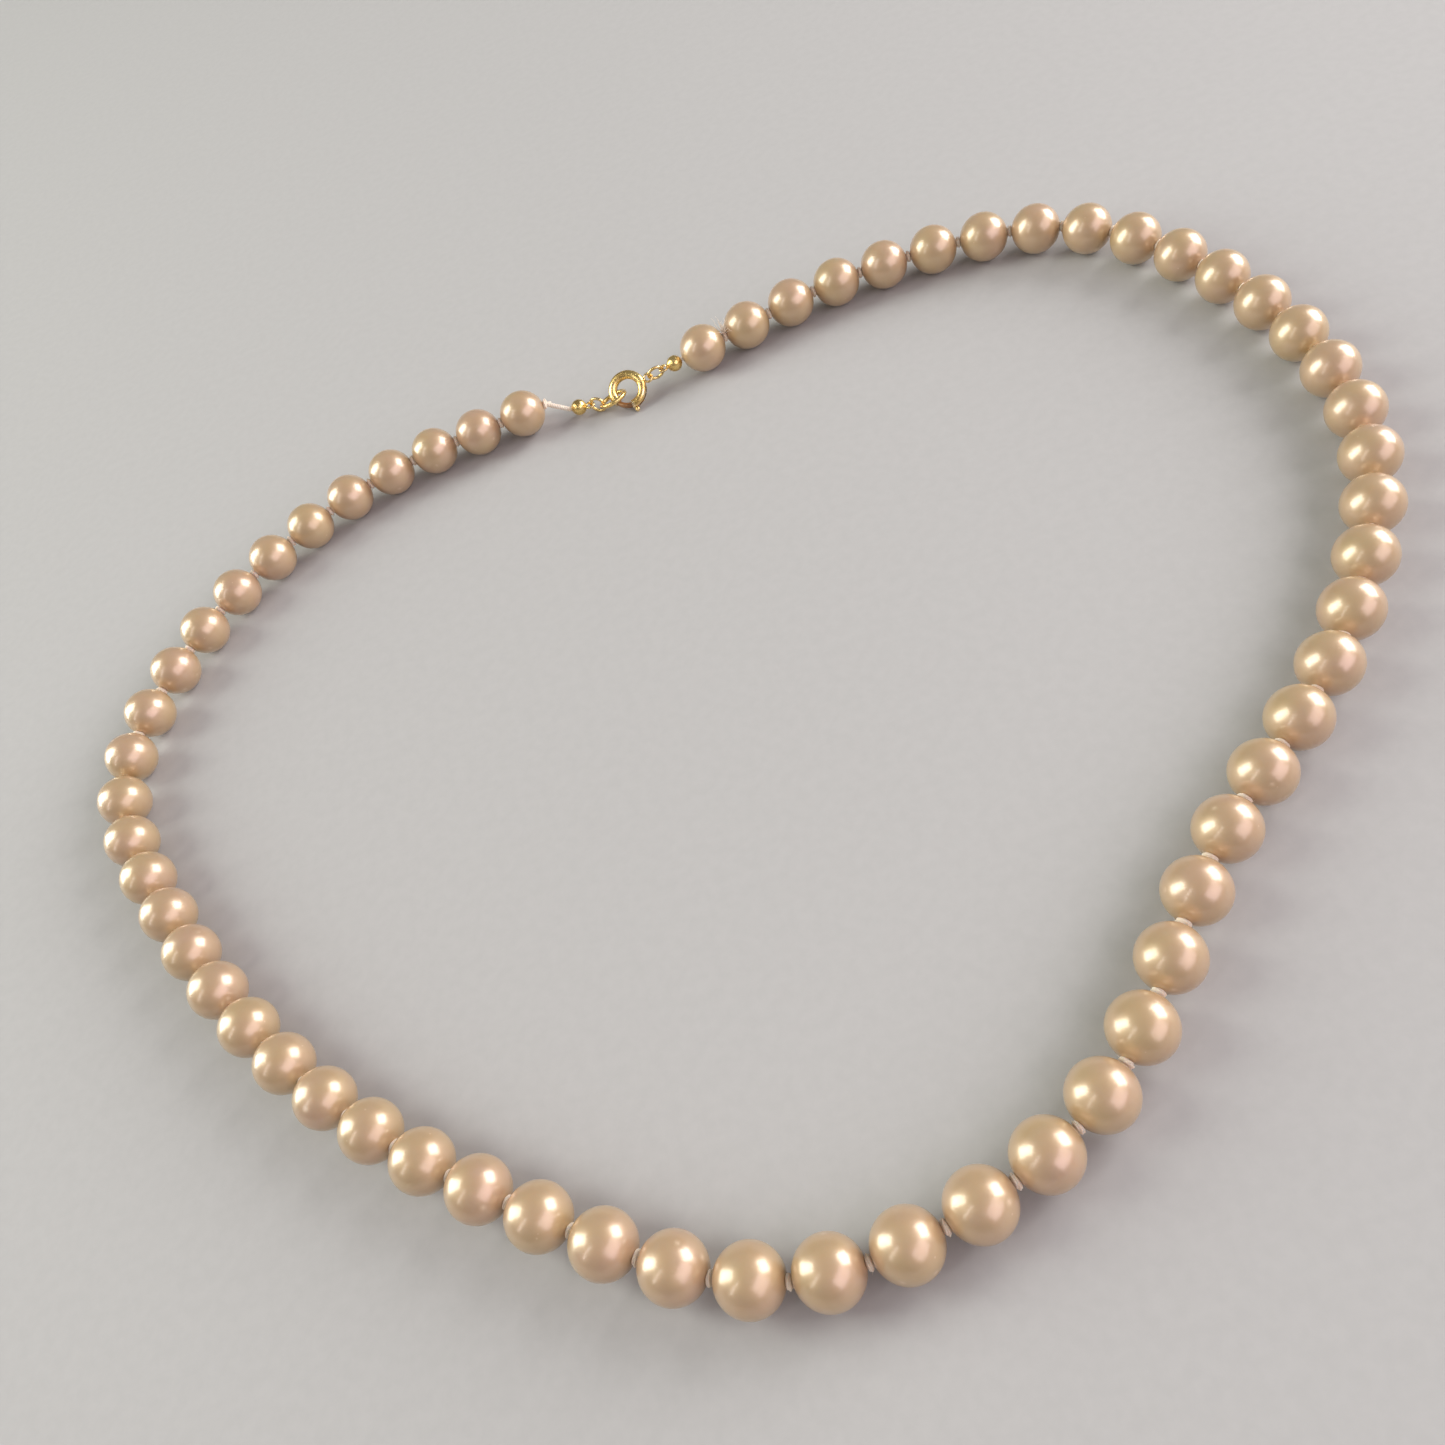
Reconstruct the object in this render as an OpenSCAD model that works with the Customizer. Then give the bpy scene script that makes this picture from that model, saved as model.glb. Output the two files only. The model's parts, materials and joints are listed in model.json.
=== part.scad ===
// Single-strand pearl necklace laid in a closed loop, knotted on silk, with a bolt ring clasp.
// Millimetres, +Z up. The origin is on the table under the centre of the strand's box.
// The clasp is at the back (+Y) and the front of the strand is at -Y.

/* [Pearls] */
// Diameter of each round pearl
pearl_d = 6.75; // [6.4:0.05:6.8]
// Diameter of the hole drilled through each pearl
drill_d = 0.8; // [0.7:0.05:0.9]

/* [Silk] */
// Diameter of the doubled silk thread
silk_d = 0.6; // [0.4:0.05:0.6]
// Width across a tied knot
knot_w = 1.4; // [1:0.1:1.5]
// Length of a tied knot along the thread
knot_len = 0.36; // [0.28:0.02:0.4]

/* [Bolt ring] */
// Diameter of the case tube's centreline circle
case_ring_d = 4.5; // [4.4:0.05:4.6]
// Outer diameter of the case tube
case_tube_d = 1.3; // [1.2:0.05:1.3]
// Bore of the case tube
case_bore_d = 0.9; // [0.86:0.02:1]
// Diameter of the sliding tongue's wire
tongue_d = 0.76; // [0.6:0.02:0.8]
// Travel of the thumb knob round the case, in degrees
knob_travel = 62; // [40:1:62]
// Lean of the bolt ring about the line of pull, from its flattest position, in degrees
case_lean = 35; // [20:1:40]

/* [Findings] */
// Outer diameter of each knot cup
cup_d = 2.3; // [2.2:0.05:2.4]
// Wall of a knot cup
cup_wall = 0.18; // [0.12:0.02:0.24]
// Diameter of a jump ring's centreline circle
jump_ring_d = 2.3; // [2.2:0.05:2.4]
// Wire of the jump rings
jump_wire_d = 0.4; // [0.32:0.02:0.44]
// Diameter of the end ring's centreline circle
end_ring_d = 3.9; // [3.8:0.05:4]
// Wire of the end ring
end_wire_d = 0.56; // [0.4:0.02:0.6]

/* [Hidden] */
$fn = 48;
pearl_count = 60;
pearls_per_length = 4;
pearls_per_node = 2;
length_count = pearl_count / pearls_per_length;
root_length = 8;
// Distance from knot to knot along the strand
pitch = 7.22;
pearl_r = pearl_d / 2;

// Route of the strand seen from above, from the knot beside the first pearl round to the last
route = [
    [-11, 63], [-40, 62], [-65, 49], [-80, 25], [-72, -2], [-57, -27], [-37, -47], [-12, -63],
    [17, -59], [39, -40], [62, -23], [78, 0], [79, 28], [67, 53], [39, 62], [10, 60]
];
last_point = len(route) - 1;

// A point of the route, with the line carried straight on past both ends
function route_point(i) =
    i < 0 ? 2 * route[0] - route[1]
    : i > last_point ? 2 * route[last_point] - route[last_point - 1]
    : route[i];

// Catmull-Rom curve through the route's points; t counts the points
function on_route(t) =
    let (i = min(max(floor(t), 0), last_point - 1))
    let (s = t - i)
    let (a = route_point(i - 1), b = route_point(i), c = route_point(i + 1), d = route_point(i + 2))
    (2 * b + (c - a) * s + (2 * a - 5 * b + 4 * c - d) * s * s
        + (3 * b - a - 3 * c + d) * s * s * s) / 2;

// The t at which the curve is one pitch away from the point p, by halving the span lo to hi
function pitch_on(p, lo, hi, n) =
    n == 0 ? lo
    : let (m = (lo + hi) / 2)
      norm(on_route(m) - p) < pitch ? pitch_on(p, m, hi, n - 1) : pitch_on(p, lo, m, n - 1);

halvings = 36;
span = 1.2;
laid = [
    for (i = 0, t = 0, p = on_route(0); i <= pearl_count;
         i = i + 1, t = pitch_on(p, t, t + span, halvings), p = on_route(t)) p
];
laid_mid = [for (i = [1:pearl_count]) (laid[i - 1] + laid[i]) / 2];
laid_x = [for (p = laid_mid) p.x];
laid_y = [for (p = laid_mid) p.y];
// Moves the strand's box onto the origin
centre = -[min(laid_x) + max(laid_x), min(laid_y) + max(laid_y)] / 2;
knots = [for (p = laid) p + centre];

function unit(v) = v / norm(v);
function plan(v) = [v.x, v.y];
function at_height(p, z) = [p.x, p.y, z];
function heading(v) = atan2(v.y, v.x);
function knot_at(i) = at_height(knots[i], pearl_r);
function pearl_at(i) = (knot_at(i - 1) + knot_at(i)) / 2;
function link_heading(i) = heading(knots[i] - knots[i - 1]);
// Heading of a knot: halfway between the links that meet there
function knot_heading(i) =
    let (before = unit(knots[max(i, 1)] - knots[max(i, 1) - 1]))
    let (after = unit(knots[min(i + 1, pearl_count)] - knots[min(i + 1, pearl_count) - 1]))
    heading(before + after);

// Where two lengths meet, the knot is drawn small so that the strand can bend there
bend_knot_r = 0.33;
bend_knot_t = 0.08;
bend_clear = 0.42;
// The silk between two pearls starts and ends this far from the middles of their knots
knot_core = 0.06;
bend_core = 0.02;

// Bolt ring: its centre, the line of pull through it and its own directions
case_centre = at_height([1.2, 59.85] + centre, 2.2);
pull_rise = 0.16;
pull_heading = 1;
pull = let (flat = sqrt(1 - pull_rise * pull_rise))
    [flat * cos(pull_heading), flat * sin(pull_heading), pull_rise];
flat_normal = unit([0, 0, 1] - pull * pull.z);
flat_back = cross(flat_normal, pull);
// Normal of a ring that leans by a about the line of pull, its back edge up
function leaning(a) = flat_normal * cos(a) - flat_back * sin(a);
case_r = case_ring_d / 2;
tube_r = case_tube_d / 2;
bore_r = case_bore_d / 2;
tongue_r = tongue_d / 2;
// Angles round the case, counted from the loop
receiving_end = 205;
spring_end = 262;
tongue_tip = 199;
tongue_tail = 300;
knob_angle = 270;
bore_end = 480;
socket_end = 196;
slot_w = 0.5;
slot_over = 7;
pin_r = 0.16;
pin_hole_r = 0.17;
pin_seat = 0.3;
knob_r = 0.36;
knob_stand = 0.3;
loop_r = 0.6;
loop_wire_r = 0.17;
loop_centre = case_r + tube_r + loop_r;

// Spring inside the case: centreline radius of the coil, its wire and its turns
coil_r = 0.32;
coil_wire_r = 0.07;
coil_turns = 16;
coil_sides = 6;
coil_steps = 10;
coil_gap = 2;

// Links on the line of pull, as distances from the case's centre
link_clear = 0.05;
jump_r = jump_ring_d / 2;
jump_wire_r = jump_wire_d / 2;
end_r = end_ring_d / 2;
end_wire_r = end_wire_d / 2;
right_pivot = loop_centre + loop_r - loop_wire_r - jump_wire_r - link_clear;
end_near = 0.6;
end_lean = -22;
right_jump_lean = 17;
left_pivot = end_near + end_ring_d - end_wire_r - jump_wire_r - link_clear;
cup_r = cup_d / 2;
cup_loop_centre = cup_r + loop_r;
// From the centre of a knot cup to the wire of the jump ring in its loop
cup_reach = cup_loop_centre + loop_r - loop_wire_r - jump_wire_r - link_clear;
cup_hole_r = 0.38;
end_knot_r = 0.68;
// A small knot just outside the left cup, where the silk turns up to the strand
turn_gap = 0.3;
turn_knot_r = 0.34;
turn_knot_t = 0.13;
turn_core = 0.07;

// Right end: jump ring from the case's loop, then the knot cup, then the last pearl
right_jump_at = case_centre + pull * (right_pivot + jump_r);
right_cup_pivot = case_centre + pull * (right_pivot + jump_ring_d);
right_dir = unit(knots[pearl_count] - plan(right_cup_pivot));
right_cup_at = at_height(plan(right_cup_pivot) + right_dir * cup_reach, right_cup_pivot.z);

// Left end: end ring in the case, then the jump ring, the knot cup and a stretch of bare silk
left_cup_z = 1.5;
left_jump_z = 1.5;
left_jump_heading = 148.5;
end_ring_at = case_centre - pull * (end_near + end_r);
left_pivot_at = plan(case_centre - pull * left_pivot);
left_jump_dir = [cos(left_jump_heading), sin(left_jump_heading)];
left_jump_at = at_height(left_pivot_at + left_jump_dir * jump_r, left_jump_z);
left_cup_pivot = left_pivot_at + left_jump_dir * jump_ring_d;
left_dir = unit(knots[0] - left_cup_pivot);
left_cup_at = at_height(left_cup_pivot + left_dir * cup_reach, left_cup_z);

// Names
function two_digits(n) = n < 10 ? str("0", n) : str(n);
function pearls_name(i) = str("pearls_", two_digits(2 * i - 1), "_", two_digits(2 * i));
function silk_name(i) = str("silk_", two_digits(i));

// Turns a shape's +Z onto the direction v
module aim(v) {
    rotate([0, 0, heading(v)])
        rotate([0, acos(v.z / norm(v)), 0])
            children();
}

// A round rod from a to b
module rod(a, b, r) {
    translate(a)
        aim(b - a)
            cylinder(h = norm(b - a), r = r);
}

// A ring of round wire in the XY plane
module wire_ring(r, wire_r) {
    rotate_extrude()
        translate([r, 0])
            circle(r = wire_r);
}

// Part of a ring of round wire, from one angle to another
module wire_arc(r, wire_r, from, to) {
    rotate([0, 0, from])
        rotate_extrude(angle = to - from)
            translate([r, 0])
                circle(r = wire_r);
}

// A tied knot along +Z: a rounded disc of silk
module knot(r, t) {
    rotate_extrude()
        union() {
            translate([r, 0])
                circle(r = t);
            translate([0, -t])
                square([r, 2 * t]);
        }
}

// One pearl, turned about its drilled hole, which lies along the strand
module pearl(i) {
    translate(pearl_at(i))
        rotate([0, 90, link_heading(i)])
            rotate_extrude()
                difference() {
                    circle(r = pearl_r);
                    translate([drill_d / 2 - pearl_d, -pearl_d])
                        square([pearl_d, 2 * pearl_d]);
                }
}

// Two neighbouring pearls
module pearls(i) {
    color("mistyrose") {
        pearl(pearls_per_node * i - 1);
        pearl(pearls_per_node * i);
    }
}

// A knot between two pearls, small where the strand bends
module strand_knot(i, bends) {
    tied_t = knot_len / 2;
    translate(knot_at(i))
        rotate([0, 0, knot_heading(i)])
            rotate([0, 90, 0])
                knot(bends ? bend_knot_r : knot_w / 2 - tied_t, bends ? bend_knot_t : tied_t);
}

// The silk of one length of four pearls. Each bending knot belongs to the side nearer the front.
module silk(n) {
    first = (n - 1) * pearls_per_length;
    last = n * pearls_per_length;
    holds_first = n <= root_length;
    holds_last = n >= root_length && n < length_count;
    color("bisque") {
        for (i = [first + 1:last]) {
            dir = unit(knot_at(i) - knot_at(i - 1));
            start = i > first + 1 ? knot_core : holds_first ? bend_core : bend_clear;
            stop = i < last ? knot_core : holds_last ? bend_core : bend_clear;
            rod(knot_at(i - 1) + dir * start, knot_at(i) - dir * stop, silk_d / 2);
        }
        for (i = [first + 1:last - 1])
            strand_knot(i, false);
        if (holds_first)
            strand_knot(first, true);
        if (holds_last)
            strand_knot(last, true);
    }
}

// The silk in a knot cup: the end knot, and the thread that leaves along dir as far as reach
module silk_in_cup(at, dir, reach) {
    translate(at)
        aim(at_height(dir, 0))
            rotate_extrude()
                union() {
                    intersection() {
                        circle(r = end_knot_r);
                        translate([0, -cup_r])
                            square([cup_r, cup_d]);
                    }
                    square([silk_d / 2, reach]);
                }
}

// The left end's silk: out of its cup to a small knot, where it turns up to the first pearl
module silk_tail_left() {
    inward = at_height(left_dir, 0);
    turn_at = left_cup_at + inward * (cup_r + turn_gap);
    slope = unit(knot_at(0) - turn_at);
    color("bisque") {
        silk_in_cup(left_cup_at, left_dir, cup_r + turn_gap - turn_core);
        translate(turn_at)
            aim(inward + slope)
                knot(turn_knot_r, turn_knot_t);
        rod(turn_at + slope * turn_core, knot_at(0) - slope * bend_clear, silk_d / 2);
    }
}

// The right end's silk, whose cup sits close against the last pearl
module silk_tail_right() {
    color("bisque")
        silk_in_cup(right_cup_at, right_dir, cup_r);
}

// A knot cup: a thin closed shell over the end knot, with a loop. Its silk comes in along dir.
module knot_cup(at, dir) {
    color("gold")
        translate(at)
            rotate([0, 0, heading(dir)])
                union() {
                    difference() {
                        sphere(r = cup_r);
                        sphere(r = cup_r - cup_wall);
                        rotate([0, 90, 0])
                            cylinder(h = cup_d, r = cup_hole_r);
                    }
                    translate([-cup_loop_centre, 0, 0])
                        wire_ring(loop_r, loop_wire_r);
                }
}

// The left jump ring, which stands upright
module jump_ring_left() {
    color("gold")
        translate(left_jump_at)
            rotate([90, 0, heading(left_jump_dir)])
                wire_ring(jump_r, jump_wire_r);
}

// Puts a shape into the plane of a ring on the line of pull: +X along the pull, +Z its normal
module on_pull(at, normal) {
    y = cross(normal, pull);
    translate(at)
        multmatrix([
            [pull.x, y.x, normal.x, 0],
            [pull.y, y.y, normal.y, 0],
            [pull.z, y.z, normal.z, 0],
            [0, 0, 0, 1]
        ])
            children();
}

// The right jump ring, which leans halfway between the knot cup's loop and the case's
module jump_ring_right() {
    color("gold")
        on_pull(right_jump_at, leaning(right_jump_lean))
            rotate([90, 0, 0])
                wire_ring(jump_r, jump_wire_r);
}

// The closed ring that the clasp catches
module end_ring() {
    color("goldenrod")
        on_pull(end_ring_at, leaning(end_lean))
            wire_ring(end_r, end_wire_r);
}

// The bolt ring's C-shaped tube, with its bore, the slot for the knob and the socket for the tip
module bolt_ring_case() {
    color("gold")
        on_pull(case_centre, leaning(case_lean))
            difference() {
                wire_arc(case_r, tube_r, spring_end - 360, receiving_end);
                wire_arc(case_r, bore_r, spring_end - 361, bore_end - 360);
                wire_arc(case_r, bore_r, socket_end, receiving_end + 1);
                rotate([0, 0, spring_end - 1])
                    rotate_extrude(angle = knob_angle + knob_travel + slot_over - spring_end + 1)
                        translate([case_r, -slot_w / 2])
                            square([tube_r + 1, slot_w]);
            }
}

// The small loop soldered to the outside of the case
module bolt_ring_loop() {
    color("gold")
        on_pull(case_centre, leaning(case_lean))
            translate([loop_centre, 0, 0])
                wire_ring(loop_r, loop_wire_r);
}

// The sliding tongue that closes the bolt ring
module bolt_tongue() {
    color("peru")
        on_pull(case_centre, leaning(case_lean))
            difference() {
                wire_arc(case_r, tongue_r, tongue_tip, tongue_tail);
                rotate([0, 0, knob_angle])
                    translate([case_r, 0, 0])
                        rotate([0, 90, 0])
                            cylinder(h = tongue_d, r = pin_hole_r);
            }
}

// The thumb knob: a pin seated in the tongue, and a button outside the slot
module thumb_knob() {
    color("goldenrod")
        on_pull(case_centre, leaning(case_lean))
            rotate([0, 0, knob_angle]) {
                translate([case_r + tongue_r - pin_seat, 0, 0])
                    rotate([0, 90, 0])
                        cylinder(h = tube_r - tongue_r + pin_seat + knob_stand, r = pin_r);
                translate([case_r + tube_r + knob_stand, 0, 0])
                    sphere(r = knob_r);
            }
}

// A point of the coil's surface: step k along the coil, side s of the wire
function coil_point(k, s) =
    let (total = coil_turns * coil_steps)
    let (bend = tongue_tail + coil_gap + (bore_end - tongue_tail - 2 * coil_gap) * k / total)
    let (turn = 360 * k / coil_steps)
    let (side = 360 * s / coil_sides)
    let (out = coil_r * cos(turn) + coil_wire_r * cos(turn) * cos(side))
    let (up = coil_r * sin(turn) + coil_wire_r * sin(turn) * cos(side))
    let (along = coil_wire_r * sin(side) / case_r * 180 / PI)
    [(case_r + out) * cos(bend + along), (case_r + out) * sin(bend + along), up];

// The coil spring inside the case, behind the tongue
module bolt_spring() {
    rings = coil_turns * coil_steps;
    points = [for (k = [0:rings], s = [0:coil_sides - 1]) coil_point(k, s)];
    walls = [
        for (k = [0:rings - 1], s = [0:coil_sides - 1])
            let (a = k * coil_sides + s, b = k * coil_sides + (s + 1) % coil_sides)
                [a, b, b + coil_sides, a + coil_sides]
    ];
    first_cap = [for (s = [coil_sides - 1:-1:0]) s];
    last_cap = [for (s = [0:coil_sides - 1]) rings * coil_sides + s];
    color("silver")
        on_pull(case_centre, leaning(case_lean))
            polyhedron(points = points, faces = concat(walls, [first_cap, last_cap]));
}

for (i = [1:pearl_count / pearls_per_node])
    pearls(i);
for (i = [1:length_count])
    silk(i);
silk_tail_left();
silk_tail_right();
knot_cup(left_cup_at, left_dir);  // knot_cup_left
knot_cup(right_cup_at, right_dir);  // knot_cup_right
jump_ring_left();
jump_ring_right();
end_ring();
bolt_ring_case();
bolt_ring_loop();
bolt_tongue();
thumb_knob();
bolt_spring();
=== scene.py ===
"""Pearl necklace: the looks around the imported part. Metres, +Z up, in the part's own frame."""

import json
import math
import random

import bmesh
import bpy
from mathutils import Matrix, Vector, noise


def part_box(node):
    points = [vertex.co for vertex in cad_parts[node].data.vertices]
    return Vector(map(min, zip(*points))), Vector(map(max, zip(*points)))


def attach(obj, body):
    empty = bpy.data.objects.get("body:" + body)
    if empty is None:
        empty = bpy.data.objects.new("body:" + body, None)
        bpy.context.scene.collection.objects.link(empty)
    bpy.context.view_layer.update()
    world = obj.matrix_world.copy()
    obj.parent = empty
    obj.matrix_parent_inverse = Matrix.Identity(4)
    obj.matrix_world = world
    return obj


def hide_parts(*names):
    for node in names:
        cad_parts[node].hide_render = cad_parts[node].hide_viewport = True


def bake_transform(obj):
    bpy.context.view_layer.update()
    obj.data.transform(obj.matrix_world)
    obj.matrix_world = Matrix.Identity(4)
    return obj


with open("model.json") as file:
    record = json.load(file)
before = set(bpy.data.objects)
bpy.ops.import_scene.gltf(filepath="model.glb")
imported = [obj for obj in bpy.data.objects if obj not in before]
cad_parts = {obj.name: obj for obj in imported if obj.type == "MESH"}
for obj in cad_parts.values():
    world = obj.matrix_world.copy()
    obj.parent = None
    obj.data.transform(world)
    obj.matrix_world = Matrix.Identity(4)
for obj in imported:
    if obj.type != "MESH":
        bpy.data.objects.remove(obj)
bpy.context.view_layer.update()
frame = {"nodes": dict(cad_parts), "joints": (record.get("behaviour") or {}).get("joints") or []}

bl_info = {
    "name": "Pearl necklace",
    "version": (1, 0, 0),
    "blender": (4, 5, 0),
    "location": "3D View > Sidebar > Necklace",
    "description": "Builds a knotted pearl necklace with a bolt ring clasp around its packed part",
    "category": "Object",
}

MM = 0.001
UP = Vector((0, 0, 1))
JOINTS = {j["name"]: j for j in frame["joints"]}

# The strand's measures, in millimetres, as the part has them
PEARL_COUNT = 60
PEARLS_PER_LENGTH = 4
PITCH = 7.22
PEARL_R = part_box("pearls_01_02")[1].z / 2 / MM
DRILL_R = 0.4
THREAD_R = 0.3
LOOP_R = 0.6
LOOP_WIRE_R = 0.17
CUP_WALL = 0.18
CUP_MOUTH_R = 0.38
CUP_TURN_GAP = 0.3
KNOB_R = 0.36
ROUTE = [
    (-11, 63), (-40, 62), (-65, 49), (-80, 25), (-72, -2), (-57, -27), (-37, -47), (-12, -63),
    (17, -59), (39, -40), (62, -23), (78, 0), (79, 28), (67, 53), (39, 62), (10, 60),
]  # fmt: skip

# Measures of the finish, in millimetres
BARE_SILK_R = 0.36
BARE_SILK_SEAT = 0.12
THREAD_STOP = 0.9
KNOT_REACH = 1.3
FIRST_KNOT_REACH = 0.95
END_KNOT_R = 0.62
FRAYED_KNOT = 59
FRAYED_FIBRES = 22
FRAYED_FIBRE_R = 0.05
STRAY_FIBRE_R = 0.014
CUT_TWIST = 0.02
CUT_BEVEL = 0.03
SEAM_WIDTH = 0.07
SEAM_DEPTH = 0.035
STEM_R = 0.15
RIB_PITCH = 0.17

# Where a jump ring is cut, in radians round it, and the point of the end ring that is soldered
CUT_ANGLE = 0.9
END_RING_POINTS = 96
END_RING_JOINT = 60

# The soldered loop's wire as a share of the part's, a little thin to clear the jump ring
SOLDERED_LOOP_WIRE = 0.95

# Pearls with a large rough spot, and where it faces
ROUGH_SPOTS = {
    24: Vector((0.3, -0.75, 0.55)),
    21: Vector((-0.2, -0.5, 0.8)),
    27: Vector((0.93, -0.1, 0.35)),
}
ROUGH_SPOT_WIDTH = 0.17

# Soft lights: name, azimuth and elevation in degrees, distance, width and height in metres,
# power in watts, colour
SOFT_LIGHTS = (
    ("window_left", -70, 27, 1.0, 0.46, 0.92, 9.4, (0.95, 1.0, 0.92)),
    ("window_right", 76, 25, 1.0, 0.62, 0.58, 9.2, (1.0, 0.99, 1.0)),
    ("wall_right", 135, 34, 1.1, 1.05, 0.80, 5.4, (1.0, 0.86, 0.96)),
    ("door_left", -116, 42, 1.1, 0.10, 0.90, 1.3, (1.0, 0.95, 0.92)),
)

# The camera's place in millimetres, and its turns in degrees: about Z, then X, then its own Z
CAMERA_PLACE = (8.118, -87.262, 115.392)
CAMERA_TURNS = ((6.7433, "Z"), (36.84, "X"), (-27.567, "Z"))


# ---------------------------------------------------------------- the strand's places


def between(a, b, c, d, s):
    """A point of the smooth curve from b to c, a fraction s of the way; a and d lie beyond them."""
    bend = 2 * a - 5 * b + 4 * c - d
    return (2 * b + (c - a) * s + bend * s**2 + (3 * b - a - 3 * c + d) * s**3) / 2


def route_point(i):
    """A point of the route, carried straight on past both ends."""
    last = len(ROUTE) - 1
    if i < 0:
        return 2 * Vector(ROUTE[0]) - Vector(ROUTE[1])
    if i > last:
        return 2 * Vector(ROUTE[last]) - Vector(ROUTE[last - 1])
    return Vector(ROUTE[i])


def on_route(t):
    """The smooth curve through the route's points; t counts the points."""
    i = min(max(math.floor(t), 0), len(ROUTE) - 2)
    s = t - i
    return between(*(route_point(i + k) for k in (-1, 0, 1, 2)), s)


def lay_knots():
    """The knots, one pitch apart along the route, in metres, with the pearls round the origin."""
    t, laid = 0.0, [on_route(0)]
    for _ in range(PEARL_COUNT):
        low, high = t, t + 1.2
        for _ in range(36):
            middle = (low + high) / 2
            if (on_route(middle) - laid[-1]).length < PITCH:
                low = middle
            else:
                high = middle
        t = low
        laid.append(on_route(t))
    mids = [(a + b) / 2 for a, b in zip(laid, laid[1:])]
    centre = Vector(
        [(min(m[k] for m in mids) + max(m[k] for m in mids)) / 2 for k in (0, 1)]
    )
    return [((p - centre) * MM).to_3d() + UP * PEARL_R * MM for p in laid]


KNOTS = lay_knots()


def link(i):
    """Direction of the thread through pearl i, counted from 1."""
    return (KNOTS[i] - KNOTS[i - 1]).normalized()


def knot_direction(i):
    """Direction of the strand at a knot."""
    return (link(max(i, 1)) + link(min(i + 1, PEARL_COUNT))).normalized()


def pearls_node(i):
    """The part's node that holds pearl i."""
    first = i if i % 2 else i - 1
    return f"pearls_{first:02d}_{first + 1:02d}"


def strand_body(i):
    """The body that pearl i rides on."""
    return f"strand_{(i - 1) // PEARLS_PER_LENGTH + 1:02d}"


def node_points(node):
    """A part node's own points."""
    return [v.co.copy() for v in frame["nodes"][node].data.vertices]


def ring_measures(node):
    """Centre, normal, radius and wire radius of a plain ring of the part, from its points."""
    points = node_points(node)
    centre = sum(points, Vector()) / len(points)
    far = max(points, key=lambda p: (p - centre).length) - centre
    side = max(points, key=lambda p: (p - centre).cross(far).length) - centre
    normal = far.cross(side).normalized()
    for _ in range(12):  # the plane through the ring's outermost points
        outer = [p - centre for p in points if abs((p - centre).dot(normal)) < far.length * 0.1]
        side = max(outer, key=lambda p: p.cross(far).length)
        normal = far.cross(side).normalized()
    reach = [((p - centre) - normal * (p - centre).dot(normal)).length for p in points]
    return centre, normal, (max(reach) + min(reach)) / 2, (max(reach) - min(reach)) / 2


def cup_measures(node, towards):
    """Centre, radius and direction of a knot cup; the direction points to where its silk leaves."""
    points = node_points(node)
    low, high = min(p.z for p in points), max(p.z for p in points)
    radius = (high - low) / 2
    middle = sum(points, Vector()) / len(points)
    back = max(points, key=lambda p: (p - towards).xy.length)
    direction = (towards - back).xy.to_3d().normalized()
    for _ in range(8):
        behind = min((p - middle).dot(direction) for p in points)
        centre = middle + direction * (behind + radius + (2 * LOOP_R + LOOP_WIRE_R) * MM)
        across = direction.cross(UP)
        sides = [(p - middle).dot(across) for p in points]
        centre += across * (max(sides) + min(sides)) / 2
        centre.z = (low + high) / 2
        loop = [p for p in points if (p - centre).dot(direction) < -radius * 1.25]
        tail = sum(loop, Vector()) / len(loop)
        direction = (centre - tail).xy.to_3d().normalized()
    return centre, radius, direction


# ---------------------------------------------------------------- mesh making


def finish_piece(name, bm, material, body=None, replaced=()):
    """Turns a bmesh into a smooth-shaded piece that rides on a body."""
    bmesh.ops.recalc_face_normals(bm, faces=bm.faces)
    mesh = bpy.data.meshes.new(name)
    bm.to_mesh(mesh)
    bm.free()
    mesh.shade_smooth()
    piece = bpy.data.objects.new(name, mesh)
    bpy.context.scene.collection.objects.link(piece)
    mesh.materials.append(material)
    if body:
        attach(piece, body)
    if replaced:
        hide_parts(*replaced)
    return piece


def frames_along(path, closed=False):
    """Two side directions at each point of a path, carried along without twist."""
    count = len(path)
    ahead = []
    for i in range(count):
        before = path[i - 1] if i or closed else path[i]
        after = path[(i + 1) % count] if i < count - 1 or closed else path[i]
        ahead.append((after - before).normalized())
    start = UP if abs(ahead[0].z) < 0.9 else Vector((1, 0, 0))
    side = ahead[0].cross(start).normalized()
    frames = []
    for direction in ahead:
        side = (side - direction * side.dot(direction)).normalized()
        frames.append((side, direction.cross(side).normalized()))
    return frames


def add_tube(bm, path, radius, sides=12, closed=False):
    """Sweeps a round wire along a path.

    radius is a number, or a function of the point's index and angle.
    """
    loops = []
    for i, (point, (u, v)) in enumerate(zip(path, frames_along(path, closed))):
        loop = []
        for k in range(sides):
            angle = math.tau * k / sides
            reach = radius(i, angle) if callable(radius) else radius
            loop.append(bm.verts.new(point + (u * math.cos(angle) + v * math.sin(angle)) * reach))
        loops.append(loop)
    pairs = list(zip(loops, loops[1:])) + ([(loops[-1], loops[0])] if closed else [])
    for a, b in pairs:
        for k in range(sides):
            bm.faces.new((a[k], a[(k + 1) % sides], b[(k + 1) % sides], b[k]))
    if not closed:
        close_ends(bm, loops)


def close_ends(bm, loops):
    """Closes both open ends of a row of loops."""
    bm.faces.new(loops[0][::-1])
    bm.faces.new(loops[-1])


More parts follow.
